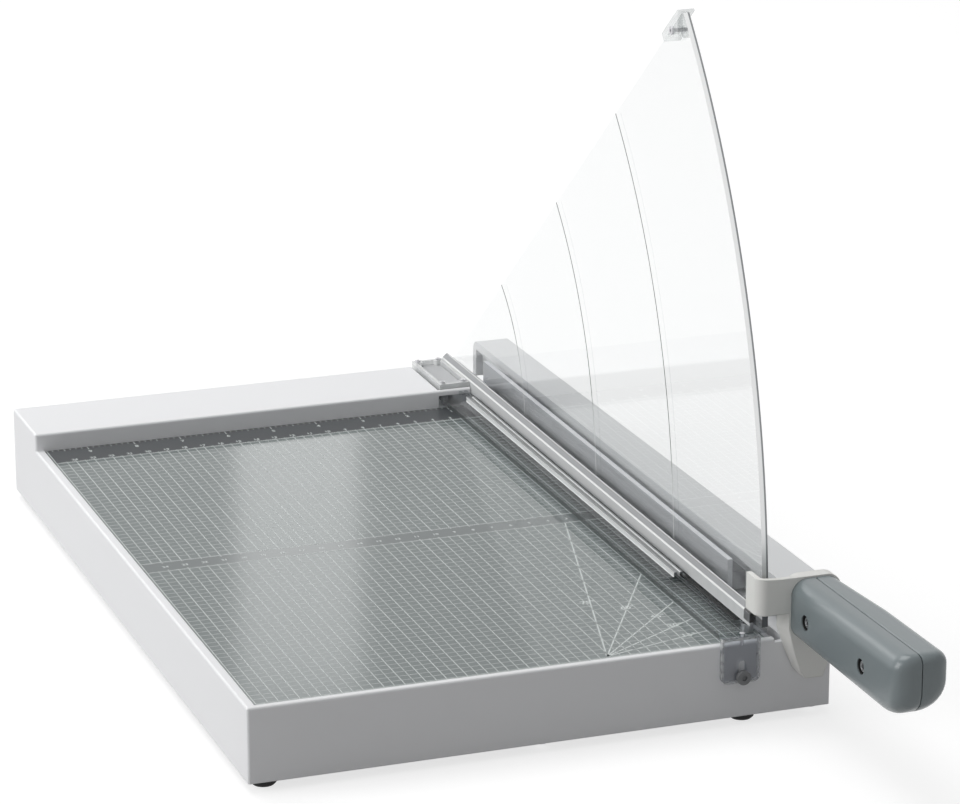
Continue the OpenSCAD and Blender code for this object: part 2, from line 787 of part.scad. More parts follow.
module handle_tang() {
    color([0.6, 0.61, 0.63]) placed() difference() {
        union() {
            block(handle_x - tang_t / 2, handle_x + tang_t / 2, handle_y0 + tang_front,
                tang_y1, tang_z0, tang_z0 + tang_h);
            block(web_x + lever_t, handle_x, collar_y1 + over, tang_y1, tang_z0,
                tang_z0 + tang_h);
        }
        for (y = tang_bolt_y) rod_x(web_x, handle_x + tang_t, y, tang_mid, tang_bolt_d);
        for (y = grip_places) rod_x(web_x, handle_x + tang_t, y, tang_mid,
            grip_d + 2 * fit);
    }
}

module tang_bolts() {
    color("silver") placed() for (y = tang_bolt_y) to_plus_x(web_x, y, tang_mid)
        screw(tang_bolt_d, bracket_head_d, head_t, handle_x + tang_t / 2 - web_x);
}

// A ball of radius r round a point
module ball(x, y, z, r) {
    translate([x, y, z]) sphere(r = r, $fn = 32);
}

module handle_form() {
    hull() {
        for (side = [-1, 1]) {
            translate([handle_x + side * (handle_half_rear - top_r), collar_y0,
                handle_top - top_r]) rotate([90, 0, 0])
                    cylinder(r = top_r, h = over, $fn = 32);
            translate([handle_x + side * (handle_half_rear - low_r), collar_y0,
                handle_top - handle_h + low_r]) rotate([90, 0, 0])
                    cylinder(r = low_r, h = over, $fn = 32);
        }
        ball(handle_x + swell_half - top_r, collar_y0 - handle_len * swell_share,
            handle_top - top_r, top_r);
        for (x = [handle_x - handle_half_left, handle_x + handle_half_front - 2 * nose_r])
            ball(x + nose_r, handle_y0 + nose_r, handle_top + nose_lift - nose_r, nose_r);
        for (x = [handle_x - handle_half_left, handle_x + handle_half_front - 2 * low_r])
            ball(x + low_r, handle_y0 + nose_back + low_r,
                handle_top - handle_h + low_r, low_r);
    }
}

module handle_left() {
    color([0.45, 0.49, 0.5]) placed() difference() {
        handle_form();
        block(handle_x - seam, handle_x + 2 * handle_half_front, handle_y0 - over,
            collar_y0 + over, handle_top - handle_h - over,
            handle_top + nose_lift + over);
        block(handle_x - tang_t / 2 - fit, handle_x + over,
            handle_y0 + tang_front - fit, collar_y0 + over, tang_z0 - fit,
            tang_z0 + tang_h + fit);
        for (y = grip_places) {
            rod_x(handle_x - 2 * handle_half_front, handle_x, y, tang_mid, grip_d);
            rod_x(handle_x - 2 * handle_half_front, handle_x - grip_deep, y, tang_mid,
                grip_head_d);
        }
    }
}

module handle_right() {
    color([0.45, 0.49, 0.5]) placed() difference() {
        handle_form();
        block(handle_x - 2 * handle_half_front, handle_x + seam, handle_y0 - over,
            collar_y0 + over, handle_top - handle_h - over,
            handle_top + nose_lift + over);
        block(handle_x - over, handle_x + tang_t / 2 + fit,
            handle_y0 + tang_front - fit, collar_y0 + over, tang_z0 - fit,
            tang_z0 + tang_h + fit);
        for (y = grip_places) {
            rod_x(handle_x, handle_x + 2 * handle_half_front, y, tang_mid, grip_d);
            rod_x(handle_x + grip_deep, handle_x + 2 * handle_half_front, y, tang_mid,
                grip_head_d);
        }
    }
}

module handle_screws() {
    color("silver") placed() for (y = grip_places)
        to_plus_x(handle_x - grip_deep, y, tang_mid)
            screw(grip_d, grip_head_d - 2 * fit, grip_head_t, 2 * grip_deep);
}

module handle_nuts() {
    color("silver") placed() for (y = grip_places) difference() {
        rod_x(handle_x + grip_deep, handle_x + grip_deep + grip_head_t, y, tang_mid,
            grip_head_d - 2 * fit);
        rod_x(handle_x, handle_x + grip_deep + grip_head_t / 2, y, tang_mid, grip_d);
    }
}

// The press bar and its brackets
bracket_t0 = 2.7;
bracket_in = 1.1;
bracket_right = 8.4;
bracket_r0 = 3;
bracket_screw_y = collar_y1 - bracket_t0 / 2;
bracket_screw_len = 6;
slot_top = 7;
tray_in = 0.4;
tray_wall = 1.8;
tray_h = 6;
tray_plate_share = 0.6;
tray_boss = 2.6;
tray_screw_d = 1.6;
tray_head_d = 3;
tray_head_t = 1;
tray_x0 = -press_x + tray_in;
tray_x1 = upright_x0 - tray_in;
tray_y0 = bed_len + ledge_lip + tray_in;
tray_y1 = y_back;
tray_places = [for (x = [tray_x0 + tray_boss, tray_x1 - tray_boss],
    y = [tray_y0 + tray_boss, tray_y1 - tray_boss]) [x, y]];

module press_bar() {
    color([0.85, 0.88, 0.88, 0.5]) placed() difference() {
        union() {
            block(-press_x, -fan_x + fan_t, collar_y1, y_back, press_gap, press_z1);
            block(-press_x + bracket_in, -bracket_right, collar_y1 - bracket_t0,
                collar_y1 + over, press_gap, press_z1);
            slab_y([[upright_x0, press_z1 - press_t / 2],
                [upright_x1, press_z1 - press_t / 2],
                [upright_x1, press_z1 + upright_high],
                [upright_x0, press_z1 + upright_low]], 0, y_back);
            for (x = [ridge_x, ridge_x + ridge_gap]) block(x, x + ridge_w, pad_len,
                bed_len - fit, press_z1 - press_t / 2, press_z1 + ridge_h);
        }
        block(-press_x + pad_edge, upright_x0 - pad_edge / 4, pad_edge,
            pad_len - pad_edge, press_z1 - pad_deep, press_z1 + over);
        for (y = pin_y) rod_z(pin_x, y, press_gap - over, press_z1 + over,
            pin_d + 2 * fit);
        translate([guide_x, bracket_screw_y, press_z1])
            flush_seat(tray_screw_d, tray_head_d - fit, press_t + over);
        for (p = tray_places) rod_z(p[0], p[1], press_gap - over, press_z1 + over,
            tray_screw_d);
        for (y = fan_pin_places) rod_x(upright_x0 + over, upright_x1 + over, y,
            press_z1 + fan_pin_up, fan_pin_d);
    }
}

// A point of the fan's plane: s along the upper edge, d below it
function fan_pt(s, d) = [
    pivot_y - s * cos(fan_angle) + (fan_edge - d) * sin(fan_angle),
    pivot_z + s * sin(fan_angle) + (fan_edge - d) * cos(fan_angle)];
fan_r = pivot_y + fan_reach;
fan_tip = sqrt(fan_r * fan_r - fan_edge * fan_edge);
fan_end_z = pivot_z + fan_edge / cos(fan_angle) - (y_back - pivot_y) * tan(fan_angle);
fan_pin_shares = [0.06, 0.28, 0.5, 0.72, 0.94];
fan_pin_places = [for (s = fan_pin_shares) bed_len * s];
fan_pin_up = 3;
fan_pin_d = 2.5;
fan_pin_head = 4.5;
fan_pin_t = 1.2;
arc_shares = [0.228, 0.482, 0.736];
arc_w = 0.6;
arc_deep = 0.3;

module fan_body() {
    intersection() {
        slab_x([[y_back, press_z1], [y_back, fan_end_z], fan_pt(fan_r, 0),
            [pivot_y - fan_r - over, fan_pt(fan_r, 0)[1]],
            [pivot_y - fan_r - over, press_z1]], -fan_x, -fan_x + fan_t);
        translate([-fan_x - over, pivot_y, pivot_z]) rotate([0, 90, 0])
            cylinder(r = fan_r, h = fan_t + 2 * over, $fn = 360);
    }
}

module guard_fan() {
    color([0.9, 0.93, 0.93, 0.35]) placed() difference() {
        fan_body();
        for (s = arc_shares) difference() {
            translate([-fan_x + fan_t - arc_deep, pivot_y, pivot_z]) rotate([0, 90, 0])
                cylinder(r = fan_r * s + arc_w / 2, h = over, $fn = 180);
            translate([-fan_x, pivot_y, pivot_z]) rotate([0, 90, 0])
                cylinder(r = fan_r * s - arc_w / 2, h = fan_t + 2 * over, $fn = 180);
        }
        for (y = fan_pin_places) rod_x(-fan_x - over, -fan_x + fan_t + over, y,
            press_z1 + fan_pin_up, fan_pin_d);
        for (p = tip_places) rod_x(-fan_x - over, -fan_x + fan_t + over, p[0], p[1],
            tip_screw_d);
    }
}

// Clear pins that hold the fan to the bar's upright wall
module fan_pins() {
    color([0.85, 0.88, 0.88, 0.6]) placed() for (y = fan_pin_places) {
        rod_x(upright_x0 + over, -fan_x + fan_t + fan_pin_t / 2, y,
            press_z1 + fan_pin_up, fan_pin_d);
        rod_x(-fan_x + fan_t, -fan_x + fan_t + fan_pin_t, y, press_z1 + fan_pin_up,
            fan_pin_head);
    }
}

module front_bracket() {
    color([0.85, 0.88, 0.88, 0.5]) placed() difference() {
        translate([0, collar_y1, 0]) rotate([90, 0, 0]) linear_extrude(bracket_t0) {
            round_rect(-press_x + bracket_in, -bracket_right, press_z1 - bracket_h,
                press_gap, bracket_r0);
            translate([-press_x + bracket_in, press_gap - 2 * bracket_r0])
                square([press_x - bracket_in - bracket_right, 2 * bracket_r0]);
        }
        rod_y(guide_x, collar_y0 - over, collar_y1 + over, -slot_top - guide_d / 2 - fit,
            guide_d + 2 * fit);
        block(guide_x - guide_d / 2 - fit, guide_x + guide_d / 2 + fit,
            collar_y0 - over, collar_y1 + over, press_z1 - bracket_h - over,
            -slot_top - guide_d / 2 - fit);
        rod_z(guide_x, bracket_screw_y, press_z1 - bracket_screw_len, press_z1,
            tray_screw_d);
    }
}

module bracket_screw() {
    color("silver") placed() translate([guide_x, bracket_screw_y, press_z1])
        flush_screw(tray_screw_d, tray_head_d - fit, bracket_screw_len);
}

module rear_tray() {
    color([0.85, 0.88, 0.88, 0.5]) placed() difference() {
        block(tray_x0, tray_x1, tray_y0, tray_y1, press_z1, press_z1 + tray_h);
        difference() {
            block(tray_x0 + tray_wall, tray_x1 - tray_wall, tray_y0 + tray_wall,
                tray_y1 - tray_wall, press_z1 - over, press_z1 + tray_h + over);
            for (p = tray_places) rod_z(p[0], p[1], press_z1 - 2 * over,
                press_z1 + tray_h + 2 * over, 2 * tray_boss);
        }
        for (p = tray_places) rod_z(p[0], p[1], press_z1 - over,
            press_z1 + tray_h + over, tray_screw_d + fit);
    }
}

module tray_plate() {
    color([0.66, 0.67, 0.68]) placed() difference() {
        block(tray_x0 + tray_wall + fit, tray_x1 - tray_wall - fit,
            tray_y0 + tray_wall + fit, tray_y1 - tray_wall - fit, press_z1,
            press_z1 + tray_h * tray_plate_share);
        for (p = tray_places) rod_z(p[0], p[1], press_z1 - over, press_z1 + tray_h,
            2 * tray_boss + 2 * fit);
        for (y = pin_y) rod_z(pin_x, y, press_z1 - over, press_z1 + pin_sink,
            pin_d + 2 * fit);
    }
}

module tray_screws() {
    color("silver") placed() for (p = tray_places)
        translate([p[0], p[1], press_z1 + tray_h])
            screw(tray_screw_d, tray_head_d, tray_head_t, tray_h + press_t - fit);
}

module grip_strip() {
    color([0.1, 0.1, 0.1]) placed() block(upright_x0 - over, upright_x0 - over + rubber_w,
        front_spring_y + spring_d, bed_y1 - pad_edge, press_gap - rubber_t, press_gap);
}

// The stop at the fan's tip, which the knuckle guard's hook meets when the lever is up:
// a three-sided cheek on the left, a round lug on the right, and a web over the edge
tip_left = 2.6;
tip_right = 3;
tip_back = 24;
tip_web_t = 1.2;
tip_lug_d = 8;
tip_cheek_s = [24, 24, 11, 6.7, 0];
tip_cheek_d = [-1.2, 3.4, 9.6, 9.6, -1.2];
tip_screw_d = 2;
tip_head_d = 4;
tip_head_t = 1;
tip_in = 4;
tip_share = 0.46;
tip_screw_s = tip_back * tip_share;
tip_places = [fan_pt(fan_tip - tip_screw_s, tip_in)];

module tip_clip() {
    color([0.85, 0.88, 0.88, 0.6]) placed() difference() {
        union() {
            slab_x([for (i = [0 : len(tip_cheek_s) - 1])
                fan_pt(fan_tip - tip_cheek_s[i], tip_cheek_d[i])],
                -fan_x - tip_left, -fan_x);
            slab_x([fan_pt(fan_tip - tip_back, -tip_web_t), fan_pt(fan_tip, -tip_web_t),
                fan_pt(fan_tip, 0), fan_pt(fan_tip - tip_back, 0)], -fan_x - tip_left,
                -fan_x + fan_t + tip_right);
            slab_x([fan_pt(fan_tip - tip_screw_s - tip_lug_d / 2, 0),
                fan_pt(fan_tip - tip_screw_s - tip_lug_d / 2, tip_in),
                fan_pt(fan_tip - tip_screw_s + tip_lug_d / 2, tip_in),
                fan_pt(fan_tip - tip_screw_s + tip_lug_d / 2, 0)],
                -fan_x + fan_t, -fan_x + fan_t + tip_right);
            for (p = tip_places) rod_x(-fan_x + fan_t, -fan_x + fan_t + tip_right,
                p[0], p[1], tip_lug_d);
        }
        for (p = tip_places) rod_x(-fan_x - tip_left - over,
            -fan_x + fan_t + tip_right + over, p[0], p[1], tip_screw_d);
    }
}

module tip_screws() {
    color("silver") placed() for (p = tip_places)
        to_plus_x(-fan_x - tip_left, p[0], p[1]) screw(tip_screw_d, tip_head_d,
            tip_head_t, tip_left + fan_t + tip_right - fit);
}

base_housing();
bed_plate();
bottom_plate();
bottom_screws();
feet();
foot_screws();
bed_knife();
knife_screws();
pivot_bracket();
bracket_bolts();
pivot_bolt();
pivot_washers();
pivot_nut();
guide_screw();
guide_pins();
front_spring();
rear_spring();
lever_channel();
pivot_bush();
blade_holder();
holder_screws();
blade();
blade_screws();
knuckle_guard();
handle_tang();
tang_bolts();
handle_left();
handle_right();
handle_screws();
handle_nuts();
press_bar();
guard_fan();
fan_pins();
front_bracket();
bracket_screw();
rear_tray();
tray_plate();
tray_screws();
grip_strip();
tip_clip();
tip_screws();
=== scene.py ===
# %% [markdown]
# # A lever paper trimmer, dressed in Blender
# The construction comes from the CAD frame: every plate, screw and spring is already there
# with its real size. This lesson gives those parts their finishes, prints the bed, moulds
# the handle, and sets up the camera and a plain studio.

# %% Load the frame
import json
import math

import bpy
import numpy as np
from mathutils import Matrix, Vector


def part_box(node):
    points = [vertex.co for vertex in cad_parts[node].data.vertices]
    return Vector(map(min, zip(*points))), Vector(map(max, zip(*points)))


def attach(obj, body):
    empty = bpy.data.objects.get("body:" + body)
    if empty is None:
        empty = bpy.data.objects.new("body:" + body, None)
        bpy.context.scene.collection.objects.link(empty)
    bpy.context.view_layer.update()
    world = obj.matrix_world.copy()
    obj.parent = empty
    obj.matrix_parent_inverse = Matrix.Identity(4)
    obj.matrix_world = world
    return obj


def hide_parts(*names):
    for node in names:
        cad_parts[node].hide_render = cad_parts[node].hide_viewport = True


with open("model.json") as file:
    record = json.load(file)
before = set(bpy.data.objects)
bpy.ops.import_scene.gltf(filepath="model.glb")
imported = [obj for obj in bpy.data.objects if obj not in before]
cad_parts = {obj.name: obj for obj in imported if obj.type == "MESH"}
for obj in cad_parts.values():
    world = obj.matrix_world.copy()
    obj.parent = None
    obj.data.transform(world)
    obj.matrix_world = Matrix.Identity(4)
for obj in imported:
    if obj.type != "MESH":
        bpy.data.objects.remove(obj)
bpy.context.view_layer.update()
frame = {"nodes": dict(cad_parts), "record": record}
nodes = frame["nodes"]
MM = 0.001

# %% [markdown]
# The bed is easiest to think about in its own millimetres: zero on the cutting line, zero
# on the front line of the grid, and zero on the printed surface. The fixed knife's top
# right edge lies on the cutting line, so its box gives that corner in metres.

# %% Bed coordinates
knife_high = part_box("bed_knife")[1]
bed_low, bed_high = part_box("bed_plate")
FRONT_GAP = 1.3
CORNER = np.array([knife_high.x, bed_low.y + FRONT_GAP * MM, bed_high.z])


def bed(points):
    """Points in bed millimetres, as metres in the shared frame: corner + points / 1000."""
    return CORNER + np.asarray(points, float) * MM


print("cutting line at x =", round(float(CORNER[0]), 5))

# %% [markdown]
# ## A small language for materials
# A material is a graph of nodes. Writing the graph by hand is long, so one class wraps a
# socket that carries a number and lets Python's + - * / build the Math nodes. Everything
# else is made by one method, node(), that takes the node's kind, its settings and what
# goes into its sockets.

# %% Signals and finishes


class Signal:
    """A number on a socket. Sums and products of signals add Math nodes."""

    def __init__(self, finish, socket):
        self.finish, self.socket = finish, socket

    def math(self, operation, *others):
        made = self.finish.node("Math", {"operation": operation},
                                {i: v for i, v in enumerate((self, *others))})
        return Signal(self.finish, made.outputs[0])

    def __add__(self, other):
        return self.math("ADD", other)

    def __mul__(self, other):
        return self.math("MULTIPLY", other)

    def __sub__(self, other):
        return self.math("SUBTRACT", other)

    def __rsub__(self, other):
        return (self * -1.0).math("ADD", other)

    __radd__, __rmul__ = __add__, __mul__

    def above(self, edge):
        return self.math("GREATER_THAN", edge)

    def below(self, edge):
        return self.math("LESS_THAN", edge)

    def soft_step(self, low, high):
        made = self.finish.node("MapRange", {"interpolation_type": "SMOOTHSTEP"},
                                {"Value": self, "From Min": low, "From Max": high})
        return Signal(self.finish, made.outputs[0])


class Finish:
    """One material: its node tree, its shader, and the ways to add to them."""

    def __init__(self, name, **uniform):
        self.material = bpy.data.materials.new(name)
        self.material.use_nodes = True
        self.tree = self.material.node_tree
        self.shader = self.tree.nodes["Principled BSDF"]
        self.output = self.tree.nodes["Material Output"]
        self.place = self.node("TexCoord").outputs["Object"]
        self.set(**uniform)

    def node(self, kind, settings=None, sockets=None):
        made = self.tree.nodes.new("ShaderNode" + kind)
        for key, value in (settings or {}).items():
            if key == "stops":
                ramp = made.color_ramp
                while len(ramp.elements) < len(value):
                    ramp.elements.new(0.5)
                for stop, (at, colour) in zip(ramp.elements, value):
                    stop.position, stop.color = at, (*colour, 1)
            else:
                setattr(made, key, value)
        for key, value in (sockets or {}).items():
            self.put(made.inputs[key], value)
        return made

    def put(self, socket, value):
        if isinstance(value, Signal):
            value = value.socket
        if isinstance(value, bpy.types.NodeSocket):
            self.tree.links.new(value, socket)
        elif isinstance(value, tuple) and len(value) == 3 and socket.type == "RGBA":
            socket.default_value = (*value, 1)
        else:
            socket.default_value = value

    def set(self, **sockets):
        for name, value in sockets.items():
            self.put(self.shader.inputs[name.replace("_", " ")], value)

    def noise(self, scale, detail=2.0, stretch=None):
        """Cloudy noise between 0 and 1, about scale clouds to the metre."""
        place = self.place
        if stretch:
            place = self.node("VectorMath", {"operation": "MULTIPLY"},
                              {0: place, 1: stretch}).outputs[0]
        made = self.node("TexNoise", {"noise_dimensions": "3D"},
                         {"Vector": place, "Scale": scale, "Detail": detail})
        return Signal(self, made.outputs[0])

    def axis(self, index):
        made = self.node("SeparateXYZ", None, {0: self.place})
        return Signal(self, made.outputs[index])

    def blend(self, mask, first, second):
        """first where the mask is 0, second where it is 1."""
        made = self.node("Mix", {"data_type": "RGBA"}, {0: mask, 6: first, 7: second})
        return made.outputs[2]

    def relief(self, height, strength, depth, rounded=0.0):
        """Small relief in the normal, on top of edges rounded to a radius in metres."""
        sockets = {"Height": height, "Strength": strength, "Distance": depth}
        if rounded:
            sockets["Normal"] = self.node("Bevel", {"samples": 4},
                                          {"Radius": rounded}).outputs[0]
        self.set(Normal=self.node("Bump", None, sockets).outputs[0])


print("finish language ready")

# %% [markdown]
# ## Painted steel and moulded plastic
# Satin paint is never one flat colour: it has a very fine orange peel, and its gloss
# drifts a little. The same recipe, with other numbers, serves the white base, the lever
# and the plastics, so it is a function. Edges are rounded in the shading, because every
# real sheet or moulding has a small radius that catches the light.

# %% Coated surfaces


def coated(name, colour, rough, peel, peel_depth, rounded, drift=0.03, **uniform):
    """Base colour drifts by +-drift, roughness by 0.08, and a fine bump of size 1/peel."""
    made = Finish(name, **uniform)
    slow, fine = made.noise(9.0), made.noise(peel, 3.0)
    dark = tuple(c * (1 - drift) for c in colour)
    light = tuple(min(1.0, c * (1 + drift)) for c in colour)
    made.set(Base_Color=made.blend(slow, dark, light),
             Roughness=slow * 0.08 + (rough - 0.04))
    made.relief(fine, 0.25, peel_depth, rounded)
    return made


finishes = {
    "white_paint": coated("white_paint", (0.86, 0.865, 0.88), 0.42, 900, 0.00002, 0.0006, 0.01),
    "lever_paint": coated("lever_paint", (0.74, 0.75, 0.76), 0.40, 900, 0.00002, 0.0005, 0.015),
    "cream_plastic": coated("cream_plastic", (0.86, 0.86, 0.83), 0.45, 500, 0.00003, 0.001, 0.02),
    "insert_grey": coated("insert_grey", (0.50, 0.51, 0.52), 0.5, 1200, 0.00002, 0.0003),
    "dull_screw": coated("dull_screw", (0.19, 0.194, 0.20), 0.55, 900, 0.00002, 0.0003),
    "dark_sheet": coated("dark_sheet", (0.07, 0.07, 0.08), 0.5, 700, 0.00003, 0.0003),
    "black_rubber": coated("black_rubber", (0.012, 0.012, 0.012), 0.75, 1500, 0.00005,
                           0.0005, 0.2),
}
finishes["grey_plastic"] = coated("grey_plastic", (0.20, 0.235, 0.245), 0.24, 1300, 0.00004,
                                  0.0, 0.03)
print("coated finishes:", len(finishes))

# %% [markdown]
# ## Metals
# Ground steel and zinc plate are metals: the colour is in the reflection. Grinding leaves
# long scratches, so the noise that drives the roughness is squeezed along Y.

# %% Metal surfaces


def metal(name, colour, rough, grain, rounded=0.0002, **uniform):
    """Roughness varies with a noise stretched by the grain vector; bump follows it."""
    made = Finish(name, Metallic=1.0, **uniform)
    scratch = made.noise(400, 2.0, grain)
    dark = tuple(c * 0.88 for c in colour)
    made.set(Base_Color=made.blend(scratch, dark, colour),
             Roughness=scratch * 0.2 + (rough - 0.1))
    made.relief(scratch, 0.15, 0.00003, rounded)
    return made


finishes["zinc_screw"] = metal("zinc_screw", (0.62, 0.62, 0.64), 0.32, (1, 1, 1))
finishes["tool_steel"] = metal("tool_steel", (0.42, 0.43, 0.45), 0.34, (4, 0.05, 4))
finishes["blade_steel"] = metal("blade_steel", (0.74, 0.75, 0.78), 0.5, (4, 0.05, 4))
finishes["blade_steel"].set(Metallic=0.45)
finishes["grey_aluminium"] = metal("grey_aluminium", (0.44, 0.44, 0.46), 0.45, (4, 0.05, 4))
finishes["bronze"] = metal("bronze", (0.6, 0.42, 0.18), 0.35, (1, 1, 1))
finishes["black_screw"] = metal("black_screw", (0.05, 0.05, 0.055), 0.4, (1, 1, 1))
print("with metals:", len(finishes))

# %% [markdown]
# ## Clear plastic
# The fan and the press bar are clear acrylic. The shader refracts light as acrylic does;
# lamps would be stopped by it, so for shadow rays it turns into a slightly grey window.

# %% Acrylic


def acrylic(name, tint, rough, shade):
    """Refraction of index 1.49 for every ray but shadow rays, which pass through a window."""
    made = Finish(name, Roughness=rough, IOR=1.49, Transmission_Weight=1.0,
                  Base_Color=tint)
    window = made.node("BsdfTransparent", None, {"Color": shade})
    ray = made.node("LightPath").outputs["Is Shadow Ray"]
    mixed = made.node("MixShader", None, {0: ray, 1: made.shader.outputs[0],
                                          2: window.outputs[0]})
    made.tree.links.new(mixed.outputs[0], made.output.inputs["Surface"])
    return made


finishes["clear_plastic"] = acrylic("clear_plastic", (0.93, 0.945, 0.945), 0.0,
                                    (0.93, 0.94, 0.94))


def thin_window(name, tint, gloss, index=1.49):
    """What lies behind, times the tint, and a clear gloss that grows towards the edges."""
    made = Finish(name, Base_Color=(1, 1, 1), Metallic=1.0, Roughness=gloss)
    behind = made.node("BsdfTransparent", None, {"Color": tint})
    edge = Signal(made, made.node("Fresnel", None, {"IOR": index}).outputs[0])
    inside = made.node("NewGeometry").outputs["Backfacing"]
    edge = edge * (1.0 - Signal(made, inside))
    mixed = made.node("MixShader", None, {0: edge, 1: behind.outputs[0],
                                          2: made.shader.outputs[0]})
    made.tree.links.new(mixed.outputs[0], made.output.inputs["Surface"])
    return made


finishes["fan_plastic"] = thin_window("fan_plastic", (0.95, 0.955, 0.955), 0.02)
bracket = thin_window("bracket_plastic", (0.77, 0.78, 0.80), 0.05)
low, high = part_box("front_bracket")
# Painted highlight on the bracket's edges: near its left and right sides and its top and bottom,
# a patchy share of the surface turns into a pale grey matt skin.
sides = bracket.axis(0).below(low.x + 0.0009) + bracket.axis(0).above(high.x - 0.0009)
hem = bracket.axis(2).below(low.z + 0.0008) + bracket.axis(2).above(high.z - 0.0012)
skin = bracket.node("BsdfPrincipled", None, {"Base Color": (0.62, 0.63, 0.64),
                                             "Roughness": 0.3})
lead = bracket.output.inputs["Surface"].links[0].from_socket
outline = (sides + hem) * (bracket.noise(350.0).soft_step(0.35, 0.6) * 0.5 + 0.15)
bordered = bracket.node("MixShader", None, {0: outline, 1: lead, 2: skin.outputs[0]})
bracket.put(bracket.output.inputs["Surface"], bordered.outputs[0])
finishes["bracket_plastic"] = bracket


def hazy(name, tint, haze, colour):
    """A thin window of which a share, haze, is a pale matt skin."""
    made = thin_window(name, tint, 0.08)
    skin = made.node("BsdfPrincipled", None, {"Base Color": colour, "Roughness": 0.4})
    lead = made.output.inputs["Surface"].links[0].from_socket
    patch = made.noise(60.0).soft_step(0.3, 0.7) * 0.1 + (haze - 0.05)
    mixed = made.node("MixShader", None, {0: patch, 1: lead, 2: skin.outputs[0]})
    made.tree.links.new(mixed.outputs[0], made.output.inputs["Surface"])
    return made


finishes["thin_moulding"] = hazy("thin_moulding", (0.95, 0.96, 0.96), 0.5,
                                 (0.88, 0.89, 0.89))
finishes["tip_moulding"] = hazy("tip_moulding", (0.96, 0.97, 0.97), 0.18,
                                (0.80, 0.81, 0.81))
print("acrylic ready")

# %% [markdown]
# The press bar is a clear profile. Its pale and dark strips are painted light: painted
# highlights and painted shade stand in for the light that the plastic bends and mirrors
# at its edges, its ridges and its upright wall, whose left face carries fine ribs. Each strip
# runs along the bar, so a mask on X picks it, and one on Z or Y cuts it off. Where the mask
# is 1 the clear plastic turns into a matt one of the strip's colour.

# %% Press bar strips
bar = thin_window("bar_plastic", (0.87, 0.88, 0.885), 0.05, 1.12)
across = (bar.axis(0) - float(CORNER[0])) * 1000.0
up = (bar.axis(2) - float(CORNER[2])) * 1000.0
along = (bar.axis(1) - float(CORNER[1])) * 1000.0


def between(value, low, high):
    return value.above(low) * value.below(high)


ribs = bar.node("TexWave", {"wave_type": "BANDS", "bands_direction": "Y"},
                {"Vector": bar.place, "Scale": 230.0})
ribs = Signal(bar, ribs.outputs[1])
on_ridges = along.above(74.0) * along.below(371.0) * up.above(5.0)
# Painted highlights are the pale colours and painted shade the dark ones; the first strip is a
# painted shadow along the left flange's edge.
PAINTED_LIGHT_STRIPS = [  # mask, strength, colour
    (between(across, -28.9, -28.4), 0.6, (0.06, 0.065, 0.065)),
    (between(across, -22.0, -18.6) * on_ridges, 0.25, (0.30, 0.31, 0.32)),
    (between(across, -18.6, -18.0) * on_ridges, 0.9, (0.82, 0.83, 0.83)),
    (between(across, -18.0, -16.4) * on_ridges, 0.75, (0.30, 0.31, 0.32)),
    (between(across, -16.4, -15.2) * on_ridges, 0.8, (0.06, 0.065, 0.07)),
    (between(across, -15.2, -14.6) * on_ridges, 0.9, (0.85, 0.86, 0.86)),
    (between(across, -14.6, -13.4) * on_ridges, 0.75, (0.22, 0.23, 0.24)),
    (between(across, -13.4, -11.6) * on_ridges, 0.5, (0.20, 0.21, 0.22)),
    (between(across, -10.95, -10.55) * up.above(6.4), 0.95, (0.86, 0.87, 0.87)),
    (between(across, -10.55, -10.1) * up.above(8.0), 0.9, (0.80, 0.81, 0.81)),
    (between(across, -10.1, -8.0) * up.above(8.0), 0.8, (0.32, 0.33, 0.34)),
    (between(across, -8.0, -7.7) * up.above(8.0), 0.9, (0.75, 0.76, 0.76)),
    (between(across, -7.7, -7.2) * up.above(6.4), 0.85, (0.05, 0.05, 0.055)),
]
matt = bar.node("BsdfPrincipled", None, {"Roughness": 0.45})
shade, cover = (0.5, 0.5, 0.5), None
for mask, strength, colour in PAINTED_LIGHT_STRIPS:
    shade = bar.blend(mask, shade, colour)
    cover = mask * strength if cover is None else cover + mask * strength
# Painted shadow: the top of the upright wall turns almost black within 7 mm of the front line.
front_painted_shadow = between(across, -10.95, -7.4) * up.above(8.0) * along.below(7.0)
shade = bar.blend(front_painted_shadow, shade, (0.02, 0.02, 0.022))
wall = between(across, -10.95, -10.7)
shade = bar.blend(wall * ribs * 0.7, shade, (0.40, 0.41, 0.42))
bar.put(matt.inputs["Base Color"], shade)
lead = bar.output.inputs["Surface"].links[0].from_socket
strip_mix = bar.node("MixShader", None, {0: cover, 1: lead, 2: matt.outputs[0]})
bar.tree.links.new(strip_mix.outputs[0], bar.output.inputs["Surface"])
finishes["bar_plastic"] = bar
print("press bar strips:", len(PAINTED_LIGHT_STRIPS))

# %% [markdown]
# ## The printed bed
# The bed is steel, powder coated in a grey green, with two darker ruler bands. The bands
# are part of the base colour, as masks on Y.

# %% Bed coating
bed_coat = Finish("printed_steel", Specular_IOR_Level=0.35)
far = (bed_coat.axis(1) - float(CORNER[1])) * 1000.0
band_back = far.above(360.9)
band_middle = far.above(182.0) * far.below(195.0)
band = band_back + band_middle * 0.35
speckle = bed_coat.noise(2500, 2.0)
cloud = bed_coat.noise(12.0)
ground = bed_coat.blend(cloud, (0.134, 0.162, 0.160), (0.148, 0.176, 0.174))
bed_coat.set(Base_Color=bed_coat.blend(band, ground, (0.10, 0.107, 0.112)),
             Roughness=cloud * 0.02 + 0.09)
bed_coat.relief(speckle, 0.08, 0.00001)
finishes["printed_steel"] = bed_coat
print("bed coat ready")

# %% [markdown]
# The grid, the rulers and the protractor are white ink. Ink has a real thickness, so each
# line is a very thin box on the bed: it stays sharp at any distance. All the boxes are
# worked out together as arrays.

# %% Ink lines
INK = 0.025


